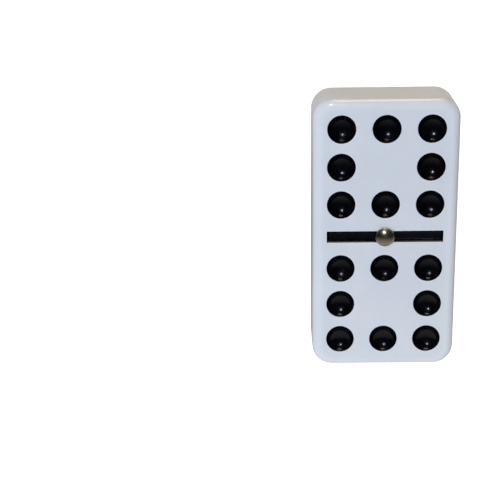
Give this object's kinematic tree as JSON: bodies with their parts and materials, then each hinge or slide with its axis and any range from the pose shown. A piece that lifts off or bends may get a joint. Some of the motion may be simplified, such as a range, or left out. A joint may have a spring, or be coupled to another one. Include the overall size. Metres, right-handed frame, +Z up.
{
  "type": "domino tile",
  "caption": "White moulded domino tile, double-eight, with glossy black dished pips, a recessed black divider and a domed brass spinner pin.",
  "frame": {"origin": "centre of the short end that the tile stands on, at table height, midway through its width and its thickness without the pin's head", "axes": "+Z up along the tile's length, +X across its width, -Y out of the face with the pips, +Y out of the plain back"},
  "size_m": [0.0254, 0.0125, 0.0492],
  "materials": {
    "white_resin": "polished white urea resin",
    "black_enamel": "gloss black enamel",
    "brass": "polished brass"
  },
  "bodies": {
    "root": {"tile_body": "white_resin", "spinner_pin": "brass", "divider_enamel_left": "black_enamel", "divider_enamel_right": "black_enamel", "upper_pip_1": "black_enamel", "upper_pip_2": "black_enamel", "upper_pip_3": "black_enamel", "upper_pip_4": "black_enamel", "upper_pip_5": "black_enamel", "upper_pip_6": "black_enamel", "upper_pip_7": "black_enamel", "upper_pip_8": "black_enamel", "lower_pip_1": "black_enamel", "lower_pip_2": "black_enamel", "lower_pip_3": "black_enamel", "lower_pip_4": "black_enamel", "lower_pip_5": "black_enamel", "lower_pip_6": "black_enamel", "lower_pip_7": "black_enamel", "lower_pip_8": "black_enamel"}
  },
  "joints": []
}
